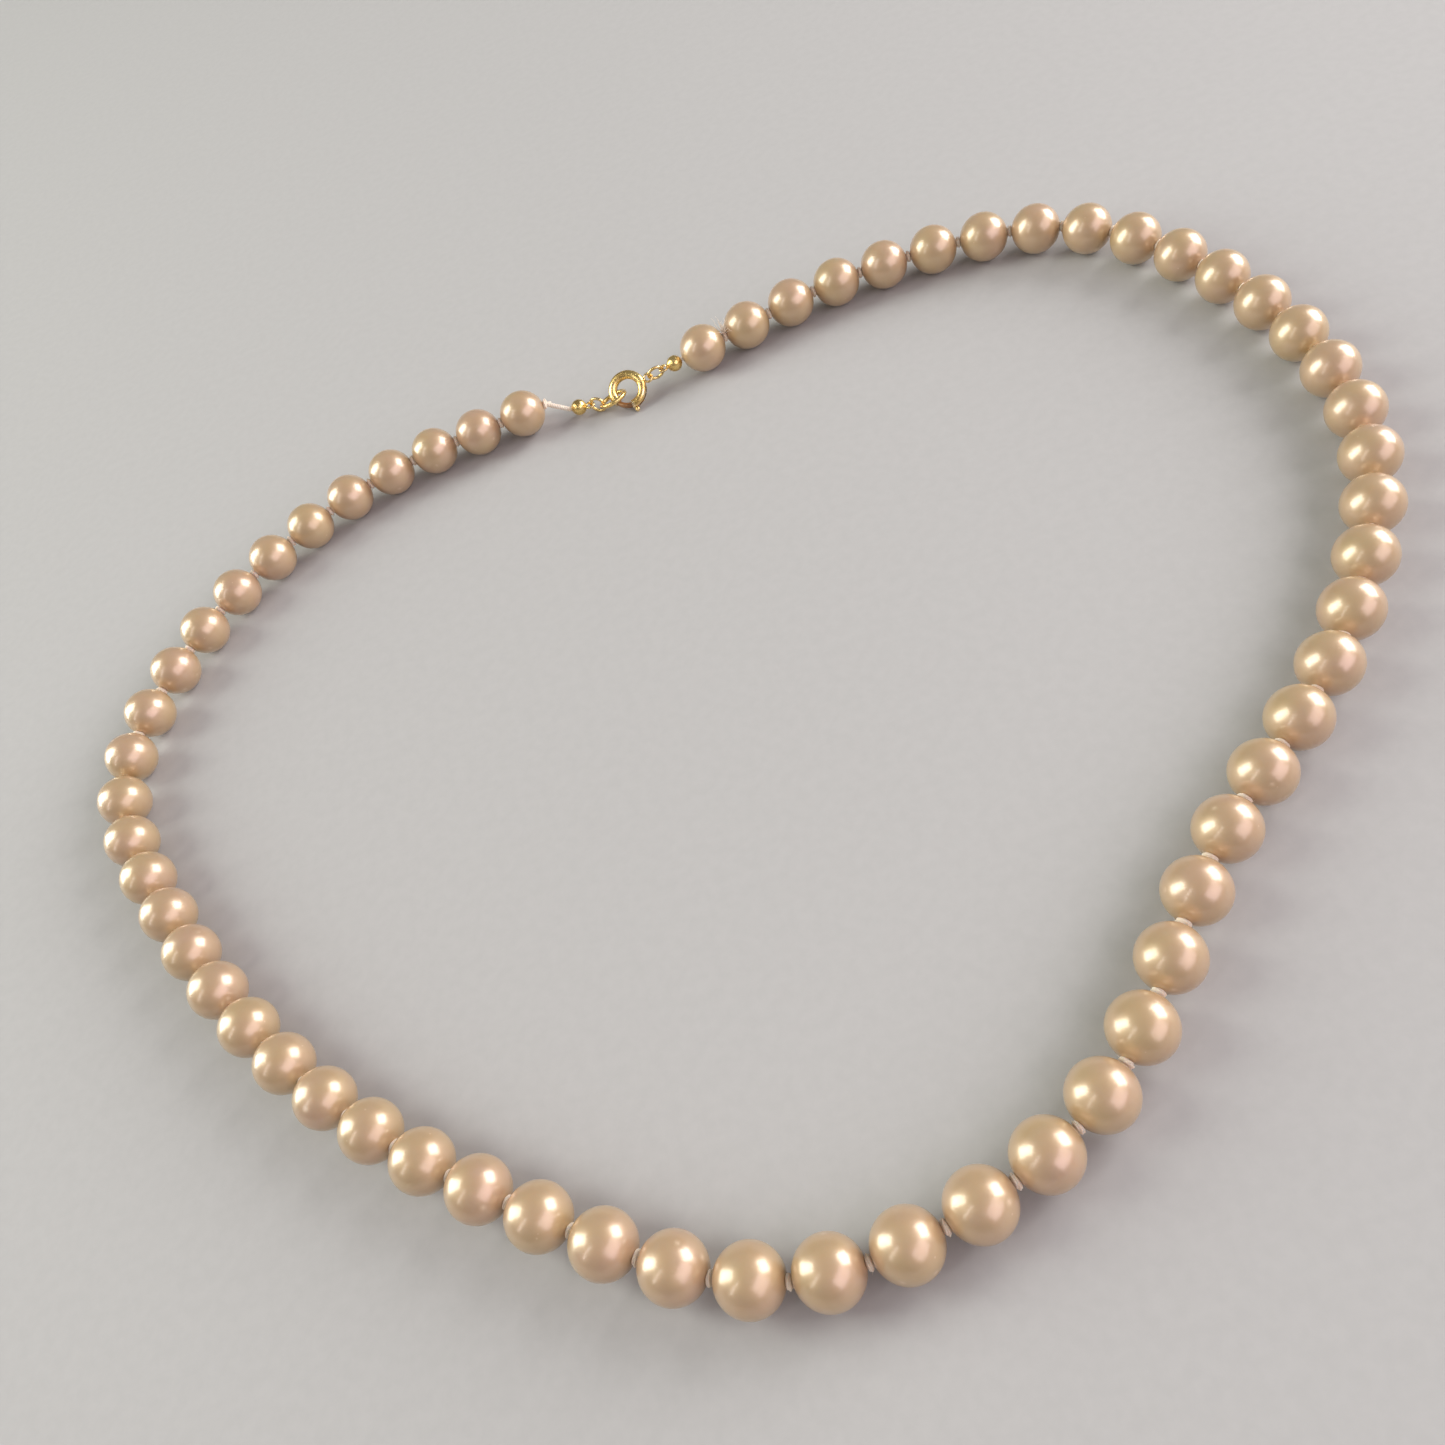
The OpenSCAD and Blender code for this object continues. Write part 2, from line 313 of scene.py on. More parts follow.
def add_lathe(bm, origin, axis, profile, sides, shape=None, closed=False):
    """Turns a profile of (along, out) about an axis.

    An out of 0 makes a pole. shape moves a finished point.
    """
    side = axis.cross(UP if abs(axis.z) < 0.9 else Vector((1, 0, 0))).normalized()
    other = axis.cross(side).normalized()
    loops = []
    for along, out in profile:
        if out == 0:
            loops.append([bm.verts.new(origin + axis * along)])
            continue
        loop = []
        for k in range(sides):
            angle = math.tau * k / sides
            point = origin + axis * along + (side * math.cos(angle) + other * math.sin(angle)) * out
            loop.append(bm.verts.new(shape(point, angle, along, out) if shape else point))
        loops.append(loop)
    for a, b in list(zip(loops, loops[1:])) + ([(loops[-1], loops[0])] if closed else []):
        for k in range(sides):
            n = (k + 1) % sides
            if len(a) == 1:
                bm.faces.new((a[0], b[n], b[k]))
            elif len(b) == 1:
                bm.faces.new((a[k], a[n], b[0]))
            else:
                bm.faces.new((a[k], a[n], b[n], b[k]))
    return loops


def smooth_path(points, steps):
    """A smooth curve through the points."""
    full = [2 * points[0] - points[1], *points, 2 * points[-1] - points[-2]]
    path = []
    for i in range(len(points) - 1):
        path += [between(*full[i : i + 4], k / steps) for k in range(steps)]
    path.append(points[-1])
    return path


# ---------------------------------------------------------------- node making


def put(tree, kind, values=None, **settings):
    """Adds a node. A value that is a socket is linked, any other is set."""
    made = tree.nodes.new(kind)
    for name, value in settings.items():
        setattr(made, name, value)
    for name, value in (values or {}).items():
        if isinstance(value, bpy.types.NodeSocket):
            tree.links.new(value, made.inputs[name])
        else:
            made.inputs[name].default_value = value
    return made


def mixed(tree, mask, first, second):
    """A colour that goes from first to second with the mask."""
    made = put(tree, "ShaderNodeMix", data_type="RGBA", clamp_factor=True)
    for index, value in ((0, mask), (6, first), (7, second)):
        if isinstance(value, bpy.types.NodeSocket):
            tree.links.new(value, made.inputs[index])
        elif index:
            made.inputs[index].default_value = (*value[:3], 1)
        else:
            made.inputs[index].default_value = value
    return made.outputs[2]


def ranged(tree, value, low, high, to_low, to_high):
    """A value moved from one range to another, without going past its ends."""
    names = ("Value", "From Min", "From Max", "To Min", "To Max")
    made = put(tree, "ShaderNodeMapRange", dict(zip(names, (value, low, high, to_low, to_high))))
    return made.outputs["Result"]


def calculated(tree, operation, first, second):
    """Two values worked together."""
    made = put(tree, "ShaderNodeMath", operation=operation)
    for index, value in enumerate((first, second)):
        if isinstance(value, bpy.types.NodeSocket):
            tree.links.new(value, made.inputs[index])
        else:
            made.inputs[index].default_value = value
    return made.outputs[0]


def new_group(name, inputs, outputs):
    """An empty shader node group with its sockets, and its two end nodes."""
    tree = bpy.data.node_groups.new(name, "ShaderNodeTree")
    for label, value in inputs.items():
        socket = tree.interface.new_socket(label, in_out="INPUT", socket_type="NodeSocketFloat")
        socket.default_value = value
    for label in outputs:
        tree.interface.new_socket(label, in_out="OUTPUT", socket_type="NodeSocketFloat")
    return tree, tree.nodes.new("NodeGroupInput"), tree.nodes.new("NodeGroupOutput")


def use_group(tree, group, values=None):
    """Places a shared effect in a material, with that material's own values."""
    made = put(tree, "ShaderNodeGroup", node_tree=group)
    for name, value in (values or {}).items():
        made.inputs[name].default_value = value
    return made


def tone_drift_group():
    """Soft variation of tone over a surface: a broad mask and a fine one."""
    tree, given, out = new_group("Tone drift", {"Broad": 120.0, "Fine": 900.0}, ("Broad", "Fine"))
    place = put(tree, "ShaderNodeTexCoord").outputs["Object"]
    for name, detail in (("Broad", 2.0), ("Fine", 4.0)):
        cloud = put(
            tree,
            "ShaderNodeTexNoise",
            {"Vector": place, "Scale": given.outputs[name], "Detail": detail, "Roughness": 0.55},
        )
        tree.links.new(ranged(tree, cloud.outputs["Fac"], 0.34, 0.66, 0.0, 1.0), out.inputs[name])
    return tree


def handling_wear_group():
    """Rubbed edges and hairline scratches, for metal: a mask of each, and a height."""
    tree, given, out = new_group(
        "Handling wear", {"Edge": 0.53, "Scratch scale": 1500.0}, ("Rubbed", "Scratches", "Height")
    )
    place = put(tree, "ShaderNodeTexCoord").outputs["Object"]
    edge = put(tree, "ShaderNodeNewGeometry").outputs["Pointiness"]
    cloud = put(
        tree, "ShaderNodeTexNoise", {"Vector": place, "Scale": 1400.0, "Detail": 5.0}
    ).outputs["Fac"]
    lifted = calculated(tree, "ADD", edge, calculated(tree, "MULTIPLY", cloud, 0.08))
    start = calculated(tree, "ADD", given.outputs["Edge"], 0.03)
    top = calculated(tree, "ADD", start, 0.05)
    tree.links.new(ranged(tree, lifted, start, top, 0.0, 1.0), out.inputs["Rubbed"])
    scratches = None
    for turn, stretch in ((0.4, (1, 14, 3)), (1.9, (12, 1, 2))):
        turned = put(
            tree,
            "ShaderNodeMapping",
            {"Vector": place, "Rotation": (turn, turn / 2, turn), "Scale": stretch},
        )
        lines = put(
            tree,
            "ShaderNodeTexNoise",
            {
                "Vector": turned.outputs["Vector"],
                "Scale": given.outputs["Scratch scale"],
                "Detail": 2.0,
            },
        )
        line = ranged(tree, lines.outputs["Fac"], 0.6, 0.7, 0.0, 1.0)
        scratches = calculated(tree, "MAXIMUM", scratches, line) if scratches else line
    tree.links.new(scratches, out.inputs["Scratches"])
    height = calculated(tree, "SUBTRACT", calculated(tree, "MULTIPLY", cloud, 0.5), scratches)
    tree.links.new(height, out.inputs["Height"])
    return tree


def shared(name, maker):
    """A shared effect, made the first time that it is wanted."""
    return bpy.data.node_groups.get(name) or maker()


def tone_drift(tree, broad, fine):
    """The shared tone drift, with a scale for its broad mask and one for its fine mask."""
    group = shared("Tone drift", tone_drift_group)
    return use_group(tree, group, {"Broad": broad, "Fine": fine})


def blank_material(name):
    """A material with its own shader and output."""
    material = bpy.data.materials.new(name)
    material.use_nodes = True
    tree = material.node_tree
    tree.nodes.clear()
    skin = put(tree, "ShaderNodeBsdfPrincipled")
    put(tree, "ShaderNodeOutputMaterial", {"Surface": skin.outputs["BSDF"]})
    return material, tree, skin


def set_skin(tree, skin, **values):
    """Sets or links the shader's own sockets; an underscore stands for a space."""
    for name, value in values.items():
        socket = skin.inputs[name.replace("_", " ")]
        if isinstance(value, bpy.types.NodeSocket):
            tree.links.new(value, socket)
        elif socket.type == "RGBA":
            socket.default_value = (*value[:3], 1)
        else:
            socket.default_value = value


def bumped(tree, height, distance, strength):
    """The surface's normal with a relief, distance in metres."""
    values = {"Height": height, "Distance": distance, "Strength": strength}
    return put(tree, "ShaderNodeBump", values).outputs["Normal"]


def nacre_material(look):
    """Champagne nacre: layered tones, a satin body under a clear skin, and chipped spots."""
    material, tree, skin = blank_material("champagne_nacre")
    drift = tone_drift(tree, 150.0, 620.0)
    place = put(tree, "ShaderNodeTexCoord").outputs["Object"]
    growth = put(
        tree,
        "ShaderNodeTexNoise",
        {"Vector": place, "Scale": 2600.0, "Detail": 4.0, "Roughness": 0.6},
    ).outputs["Fac"]
    body = mixed(tree, drift.outputs["Broad"], look.body, look.overtone)
    body = mixed(tree, calculated(tree, "MULTIPLY", drift.outputs["Fine"], 0.3), body, look.deep)
    chips = put(tree, "ShaderNodeAttribute", attribute_name="blemish").outputs["Fac"]
    spots = put(tree, "ShaderNodeTexVoronoi", {"Vector": place, "Scale": 420.0}).outputs["Distance"]
    specks = ranged(tree, spots, 0.03, 0.055, 1.0, 0.0)
    rough_spot = calculated(tree, "MAXIMUM", chips, calculated(tree, "MULTIPLY", specks, 0.4))
    body = mixed(tree, rough_spot, body, look.chipped)
    satin = ranged(tree, drift.outputs["Fine"], 0.0, 1.0, look.gloss - 0.02, look.gloss + 0.04)
    satin = calculated(tree, "ADD", satin, calculated(tree, "MULTIPLY", rough_spot, 0.35))
    relief = calculated(tree, "SUBTRACT", growth, calculated(tree, "MULTIPLY", rough_spot, 1.5))
    set_skin(
        tree,
        skin,
        Base_Color=body,
        Metallic=look.lustre,
        Roughness=satin,
        Normal=bumped(tree, relief, 0.01 * MM, 0.4),
        IOR=1.85,
        Specular_Tint=(1.0, 0.97, 0.93),
        Coat_Weight=1.0,
        Coat_Roughness=0.2,
        Coat_IOR=1.6,
        Coat_Tint=(1.0, 0.98, 0.93),
        Subsurface_Weight=0.12,
        Subsurface_Radius=(0.9, 0.5, 0.3),
        Subsurface_Scale=0.0012,
    )
    return material


def silk_material(look):
    """Pale blush silk, a little soiled, with fine fibres, and painted shade in its hollows."""
    material, tree, skin = blank_material("blush_silk")
    drift = tone_drift(tree, 400.0, 3000.0)
    place = put(tree, "ShaderNodeTexCoord").outputs["Object"]
    fibres = put(
        tree,
        "ShaderNodeTexNoise",
        {"Vector": place, "Scale": 9000.0, "Detail": 3.0, "Roughness": 0.7},
    ).outputs["Fac"]
    thread = mixed(tree, drift.outputs["Broad"], look.thread, look.soiled)
    # Painted shade: the silk darkens towards the hollows colour where its surface is hollow,
    # between a knot's turns and between the twisted plies, in place of the shade that falls there
    hollow = put(tree, "ShaderNodeNewGeometry").outputs["Pointiness"]
    thread = mixed(tree, ranged(tree, hollow, 0.38, 0.47, 0.5, 0.0), thread, look.shade)
    thread = mixed(tree, ranged(tree, fibres, 0.35, 0.7, 0.0, 0.5), thread, look.fibre)
    set_skin(
        tree,
        skin,
        Base_Color=thread,
        Roughness=ranged(tree, fibres, 0.3, 0.7, 0.5, 0.85),
        Normal=bumped(tree, fibres, 0.04 * MM, 0.8),
        Sheen_Weight=0.6,
        Sheen_Roughness=0.4,
        Sheen_Tint=(1.0, 0.93, 0.86),
        Subsurface_Weight=0.2,
        Subsurface_Radius=(1.0, 0.7, 0.5),
        Subsurface_Scale=0.0003,
    )
    return material


def metal_material(name, bright, worn, tarnish, gloss, edge):
    """Plated metal: rubbed edges show the metal under the plate, and tarnish gathers in patches."""
    material, tree, skin = blank_material(name)
    drift = tone_drift(tree, 420.0, 2400.0)
    wear = use_group(tree, shared("Handling wear", handling_wear_group), {"Edge": edge})
    plate = mixed(tree, drift.outputs["Broad"], bright, tarnish)
    plate = mixed(tree, calculated(tree, "MULTIPLY", drift.outputs["Fine"], 0.4), plate, tarnish)
    plate = mixed(tree, wear.outputs["Rubbed"], plate, worn)
    dull = ranged(tree, drift.outputs["Fine"], 0.0, 1.0, gloss, gloss + 0.16)
    scratched = calculated(tree, "MULTIPLY", wear.outputs["Scratches"], 0.1)
    dull = calculated(tree, "ADD", dull, scratched)
    set_skin(
        tree,
        skin,
        Base_Color=plate,
        Metallic=1.0,
        Roughness=dull,
        Normal=bumped(tree, wear.outputs["Height"], 0.012 * MM, 0.6),
    )
    return material


def gold_material(look):
    """The plated gold of the findings."""
    return bpy.data.materials.get("plated_gold") or metal_material(
        "plated_gold", look.gold, look.rubbed, look.tarnish, 0.16, 0.53
    )


def tongue_material(look):
    """The tongue, rubbed through to coppery metal."""
    return metal_material("coppery_tongue", look.copper, look.rubbed, look.copper_dark, 0.24, 0.56)


def steel_material():
    """Plain spring steel."""
    return metal_material(
        "spring_wire", (0.58, 0.57, 0.55), (0.75, 0.74, 0.72), (0.34, 0.33, 0.32), 0.25, 0.56
    )


# ---------------------------------------------------------------- settings


class PearlLook(bpy.types.PropertyGroup):
    """Shape and colour of the pearls."""

    body: bpy.props.FloatVectorProperty(
        name="Body",
        description="Main colour of the nacre",
        subtype="COLOR",
        default=(0.56, 0.405, 0.235),
    )
    overtone: bpy.props.FloatVectorProperty(
        name="Overtone",
        description="Rosy tone that drifts over the body",
        subtype="COLOR",
        default=(0.57, 0.385, 0.265),
    )
    deep: bpy.props.FloatVectorProperty(
        name="Deep tone",
        description="Golden tone where the nacre is thick",
        subtype="COLOR",
        default=(0.54, 0.355, 0.17),
    )
    chipped: bpy.props.FloatVectorProperty(
        name="Chipped",
        description="Colour where the nacre is chipped or pitted",
        subtype="COLOR",
        default=(0.80, 0.62, 0.45),
    )
    gloss: bpy.props.FloatProperty(
        name="Satin", description="Roughness of the satin layer", default=0.37, min=0.1, max=0.6
    )
    lustre: bpy.props.FloatProperty(
        name="Lustre", description="How metallic the nacre looks", default=0.26, min=0.0, max=1.0
    )
    off_round: bpy.props.FloatProperty(
        name="Off round",
        description="How far a pearl dips inside a true sphere",
        default=0.05 * MM,
        unit="LENGTH",
    )
    ripple: bpy.props.FloatProperty(
        name="Ripple",
        description="Depth of the fine unevenness of the surface",
        default=0.008 * MM,
        unit="LENGTH",
    )
    pit_depth: bpy.props.FloatProperty(
        name="Pit depth", description="Depth of the larger pits", default=0.03 * MM, unit="LENGTH"
    )


class SilkLook(bpy.types.PropertyGroup):
    """Shape and colour of the silk."""

    thread: bpy.props.FloatVectorProperty(
        name="Thread",
        description="Colour of the clean silk",
        subtype="COLOR",
        default=(0.98, 0.84, 0.68),
    )
    soiled: bpy.props.FloatVectorProperty(
        name="Soiled",
        description="Colour of the worn silk",
        subtype="COLOR",
        default=(0.93, 0.75, 0.57),
    )
    # Painted shade: a darker colour laid into the hollows between the turns, in place of the shade
    # that falls there
    shade: bpy.props.FloatVectorProperty(
        name="Hollows",
        description="Colour between the turns",
        subtype="COLOR",
        default=(0.72, 0.51, 0.36),
    )
    fibre: bpy.props.FloatVectorProperty(
        name="Fibres",
        description="Colour of the raised fibres",
        subtype="COLOR",
        default=(0.96, 0.86, 0.77),
    )
    knot_width: bpy.props.FloatProperty(
        name="Knot width", description="Width across a tied knot", default=1.74 * MM, unit="LENGTH"
    )
    knot_length: bpy.props.FloatProperty(
        name="Knot length", description="Length of a tied knot", default=0.68 * MM, unit="LENGTH"
    )
    lay: bpy.props.FloatProperty(
        name="Lay",
        description="Length of one turn of the twisted thread",
        default=1.1 * MM,
        unit="LENGTH",
    )


class MetalLook(bpy.types.PropertyGroup):
    """Colours of the clasp's metals."""

    gold: bpy.props.FloatVectorProperty(
        name="Gold", description="Bright gold plate", subtype="COLOR", default=(1.0, 0.76, 0.30)
    )
    tarnish: bpy.props.FloatVectorProperty(
        name="Tarnish", description="Dulled gold plate", subtype="COLOR", default=(0.80, 0.54, 0.19)
    )
    rubbed: bpy.props.FloatVectorProperty(
        name="Rubbed",
        description="Metal under worn plate",
        subtype="COLOR",
        default=(0.93, 0.74, 0.45),
    )
    copper: bpy.props.FloatVectorProperty(
        name="Tongue", description="Coppery tongue", subtype="COLOR", default=(0.72, 0.40, 0.20)
    )
    copper_dark: bpy.props.FloatVectorProperty(
        name="Tongue tarnish",
        description="Dark patches of the tongue",
        subtype="COLOR",
        default=(0.36, 0.19, 0.10),
    )
    cut_gap: bpy.props.FloatProperty(
        name="Ring cut",
        description="Gap where a jump ring is cut",
        default=0.03 * MM,
        unit="LENGTH",
    )


class StageLook(bpy.types.PropertyGroup):
    """Floor, lights and camera."""

    floor: bpy.props.FloatVectorProperty(
        name="Floor", description="Colour of the floor", subtype="COLOR", default=(0.47, 0.46, 0.45)
    )
    surround: bpy.props.FloatVectorProperty(
        name="Surround",
        description="Colour of the room around",
        subtype="COLOR",
        default=(0.80, 0.78, 0.76),
    )
    surround_strength: bpy.props.FloatProperty(
        name="Surround strength", description="Brightness of the room around", default=0.3
    )
    light_strength: bpy.props.FloatProperty(
        name="Light strength", description="Scales all the soft lights", default=1.0, min=0.0
    )
    lens: bpy.props.FloatProperty(
        name="Lens",
        description="Focal length of the camera in millimetres",
        default=30.26,
    )


# ---------------------------------------------------------------- pieces


class NECKLACE_OT_pearls(bpy.types.Operator):
    """Build the sixty drilled pearls"""

    bl_idname = "necklace.pearls"
    bl_label = "Pearls"

    rings = 46
    sides = 84

    def profile(self):
        """Outline of a pearl from one drilled mouth to the other, then back through the hole."""
        edge = math.asin((DRILL_R + 0.07) / PEARL_R)
        outline = [
            (-PEARL_R * math.cos(a), PEARL_R * math.sin(a))
            for a in (edge + (math.pi - 2 * edge) * k / self.rings for k in range(self.rings + 1))
        ]
        mouth = math.sqrt(PEARL_R**2 - DRILL_R**2)
        lip = [(mouth - 0.01, DRILL_R + 0.022), (mouth - 0.06, DRILL_R)]
        bore = [(mouth * k / 4, DRILL_R) for k in (3, 2, 1, 0, -1, -2, -3)]
        return outline + lip + bore + [(-x, r) for x, r in reversed(lip)]

    def build(self, i, look, material):
        """One pearl, a little off round, with its own dips and pits."""
        chance = random.Random(4100 + i)
        centre = (KNOTS[i - 1] + KNOTS[i]) / 2
        drift = Vector([chance.uniform(-50, 50) for _ in range(3)])
        pits = []
        for _ in range(chance.choice((0, 1, 1, 2, 3))):
            facing = Vector([chance.gauss(0, 1) for _ in range(3)]).normalized()
            pits.append((facing, chance.uniform(0.09, 0.16)))
        if i in ROUGH_SPOTS:
            pits.append((ROUGH_SPOTS[i].normalized(), ROUGH_SPOT_WIDTH))

        def shape(point, angle, along, out):
            away = point - centre
            if away.length < PEARL_R * MM * 0.93 or out < DRILL_R * MM * 1.03:
                return point
            direction = away.normalized()
            dip = look.off_round * (0.5 + 0.5 * noise.noise(direction * 0.9 + drift))
            dip += look.ripple * (1 + noise.noise(direction * 5 + drift))
            for pit, width in pits:
                near = (direction - pit).length / width
                if near < 1.6:
                    dip += look.pit_depth * math.exp(-3 * near**2)
                    dip += look.ripple * 1.2 * noise.noise(direction * 34 + drift) * (near < 1.2)
            return centre + direction * (away.length - dip)

        bm = bmesh.new()
        profile = [(x * MM, r * MM) for x, r in self.profile()]
        add_lathe(bm, centre, link(i), profile, self.sides, shape, closed=True)
        mark = bm.verts.layers.float.new("blemish")
        for vert in bm.verts:
            away = vert.co - centre
            direction = away.normalized()
            out = (away - link(i) * away.dot(link(i))).length / MM
            worn = 0.9 * max(0.0, 1 - abs(out - DRILL_R - 0.03) / 0.13)
            worn *= 0.5 + 0.5 * noise.noise(direction * 11 + drift)
            for pit, width in pits:
                worn = max(worn, 0.75 * math.exp(-5 * ((direction - pit).length / width) ** 2))
            vert[mark] = min(1.0, worn)
        name = f"pearl_{i:02d}"
        return finish_piece(name, bm, material, strand_body(i), [pearls_node(i)])

    def execute(self, context):
        look = context.scene.necklace_pearls
        material = nacre_material(look)
        for i in range(1, PEARL_COUNT + 1):
            low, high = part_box(pearls_node(i))
            place = (KNOTS[i - 1] + KNOTS[i]) / 2
            if any(not low[k] <= place[k] <= high[k] for k in range(3)):
                raise RuntimeError(f"pearl {i} isn't where the part has it")
            self.build(i, look, material)
        return {"FINISHED"}


def add_knot(bm, at, direction, look, seed, reach):
    """A tied knot on its thread: a small uneven ball, with turns wound slantwise round it."""
    chance = random.Random(900 + seed)
    half = look.knot_length / 2
    lean = chance.uniform(-0.1, 0.1)
    wide = look.knot_width / 2 * chance.uniform(0.93, 1.03)
    start = chance.uniform(0, math.tau)
    hand = chance.choice((-1, 1))
    squash = chance.uniform(0.9, 1.0)
    thread = THREAD_R * MM * 0.97
    steps = 18
    profile = [(-reach, thread)]
    for k in range(steps + 1):
        x = -1 + 2 * k / steps
        bulge = (1 - abs(x) ** 2.4) ** (1 / 2.2)
        profile.append((x * half, max(thread, wide * bulge * (1 + lean * x))))
    profile.append((reach, thread))
    side = direction.cross(UP).normalized()

    def shape(point, angle, along, out):
        if abs(along) > half * 0.99:
            return point
        swell = min(1.0, max(0.0, (out - thread) / (wide - thread)))
        turn = angle * hand + along / half * 2.1 + start
        ridge = abs(math.sin(1.5 * turn)) ** 0.7
        line = 0.5 + 0.5 * math.sin(14 * angle * hand + along / half * 16)
        away = point - (at + direction * along)
        away *= 1 - swell * (0.2 * (1 - ridge) + 0.025 * line)
        away -= side * away.dot(side) * (1 - squash)
        return at + direction * along + away

    loops = add_lathe(bm, at, direction, profile, 36, shape)
    close_ends(bm, loops)
    for _ in range(3):
        angle = chance.uniform(0, math.tau)
        out = side * math.cos(angle) + direction.cross(side) * math.sin(angle)
        add_fibre(bm, at + out * wide * 0.8, out, chance, chance.uniform(0.25, 0.5) * MM)


def add_fibre(bm, start, direction, chance, length, radius=STRAY_FIBRE_R * MM):
    """A stray silk fibre that curls away from the thread."""
    path, heading = [start], direction.normalized()
    for _ in range(5):
        bend = Vector([chance.uniform(-1, 1) for _ in range(3)]) * 0.45
        heading = (heading + bend).normalized()
        path.append(path[-1] + heading * length / 5)
    for point in path:
        point.z = max(point.z, radius)
    add_tube(bm, path, lambda i, angle: radius * (1 - 0.14 * i), sides=5)


def add_twisted_thread(bm, path, look, radius=THREAD_R * MM, plies=2):
    """Plies twisted round each other along a path."""
    frames = frames_along(path)
    travelled = [0.0]
    for a, b in zip(path, path[1:]):
        travelled.append(travelled[-1] + (b - a).length)
    for ply in range(plies):
        strand = []
        for point, (u, v), far in zip(path, frames, travelled):
            turn = math.tau * (ply / plies + far / look.lay)
            strand.append(point + (u * math.cos(turn) + v * math.sin(turn)) * radius * 0.46)
        add_tube(bm, strand, radius * 0.54, sides=14)


class NECKLACE_OT_silk(bpy.types.Operator):
    """Build the silk of each length of four pearls, with its tied knots"""

    bl_idname = "necklace.silk"
    bl_label = "Silk lengths"

    def frayed_end(self, material):
        """The frayed end of the silk that stands up out of the last knot but one."""
        bm = bmesh.new()
        chance = random.Random(FRAYED_KNOT)
        ahead = knot_direction(FRAYED_KNOT)
        across = ahead.cross(UP)
        for _ in range(FRAYED_FIBRES):
            start = KNOTS[FRAYED_KNOT] + UP * 0.5 * MM + across * chance.uniform(-0.3, 0.3) * MM
            out = UP * 1.1 - across * chance.uniform(-0.3, 0.9) + ahead * chance.uniform(-0.6, 0.6)
            add_fibre(bm, start, out, chance, chance.uniform(1.6, 3.0) * MM, FRAYED_FIBRE_R * MM)
        finish_piece("silk_end_59", bm, material, strand_body(FRAYED_KNOT))

    def execute(self, context):
        look = context.scene.necklace_silk
        material = silk_material(look)
        inside = (PEARL_R - THREAD_STOP) * MM
        for number in range(1, PEARL_COUNT // PEARLS_PER_LENGTH + 1):
            first = (number - 1) * PEARLS_PER_LENGTH
            bm = bmesh.new()
            for i in range(first + 1, first + PEARLS_PER_LENGTH + 1):
                centre = (KNOTS[i - 1] + KNOTS[i]) / 2
                ends = (centre - link(i) * inside, centre + link(i) * inside)
                add_tube(bm, [ends[0], centre, ends[1]], THREAD_R * MM * 0.9, sides=12)
            for i in range(first + 1, first + PEARLS_PER_LENGTH):
                add_knot(bm, KNOTS[i], knot_direction(i), look, i, KNOT_REACH * MM)
            name = f"silk_length_{number:02d}"
            node = f"silk_{number:02d}"
            finish_piece(name, bm, material, strand_body(first + 1), [node])
        self.frayed_end(material)
        return {"FINISHED"}


class NECKLACE_OT_bending_knots(bpy.types.Operator):
    """Build the knots where two lengths meet, as pieces on no body"""

    bl_idname = "necklace.bending_knots"
    bl_label = "Bending knots"

    def execute(self, context):
        look = context.scene.necklace_silk
        material = bpy.data.materials["blush_silk"]
        last = PEARL_COUNT // PEARLS_PER_LENGTH
        for number in range(1, last):
            i = number * PEARLS_PER_LENGTH
            bm = bmesh.new()
            direction = knot_direction(i)
            add_knot(bm, KNOTS[i], direction, look, i, KNOT_REACH * MM)
            piece = finish_piece(f"bending_knot_{i:02d}", bm, material)
            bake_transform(piece)
        return {"FINISHED"}


class NECKLACE_OT_silk_ends(bpy.types.Operator):
    """Build the silk beyond the first and last pearls, into the knot cups"""

    bl_idname = "necklace.silk_ends"
    bl_label = "Silk ends"

    def end_knot(self, bm, centre, direction, seed):
        """The knot that holds the silk inside its cup."""
        chance = random.Random(seed)
        size = END_KNOT_R * MM
        rows = 14
        angles = [math.pi * k / rows for k in range(1, rows)]
        round_side = [(-size * math.cos(a), size * math.sin(a)) for a in angles]
        profile = [(-size, 0), *round_side, (size, 0)]
        start = chance.uniform(0, math.tau)

        def shape(point, angle, along, out):
            groove = abs(math.sin(1.5 * (angle + along / size * 2 + start))) ** 0.7
            return centre + (point - centre) * (0.88 + 0.12 * groove)

        add_lathe(bm, centre, direction, profile, 30, shape)

    def execute(self, context):
        look = context.scene.necklace_silk
        material = bpy.data.materials["blush_silk"]
        centre, radius, direction = cup_measures("knot_cup_left", KNOTS[0])
        turn = centre + direction * (radius + CUP_TURN_GAP * MM)
        slope = (KNOTS[0] - turn).normalized()
        seat = KNOTS[0] - slope * BARE_SILK_SEAT * MM
        bare = [centre, centre + direction * radius, turn, turn.lerp(KNOTS[0], 0.5), seat]
        bm = bmesh.new()
        add_twisted_thread(bm, smooth_path(bare, 14), look, BARE_SILK_R * MM, 3)
        self.end_knot(bm, centre, direction, 7)
        finish_piece("silk_end_left", bm, material, "left_tail", ["silk_tail_left"])

        bm = bmesh.new()
        add_knot(bm, KNOTS[0], (slope + link(1)).normalized(), look, 0, FIRST_KNOT_REACH * MM)
        piece = finish_piece("bending_knot_00", bm, material)
        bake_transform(piece)

        centre, radius, direction = cup_measures("knot_cup_right", KNOTS[-1])
        bm = bmesh.new()
        add_twisted_thread(bm, smooth_path([centre, centre + direction * radius], 16), look)
        self.end_knot(bm, centre, direction, 8)
        finish_piece("silk_end_right", bm, material, "right_tail", ["silk_tail_right"])

        bm = bmesh.new()
        away = link(PEARL_COUNT)
        inner = KNOTS[-1] - away * 1.2 * MM
        outer = KNOTS[-1] + away * 0.5 * MM
        add_twisted_thread(bm, smooth_path([inner, KNOTS[-1], outer], 10), look)
        piece = finish_piece("bending_thread_60", bm, material)
        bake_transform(piece)
        return {"FINISHED"}


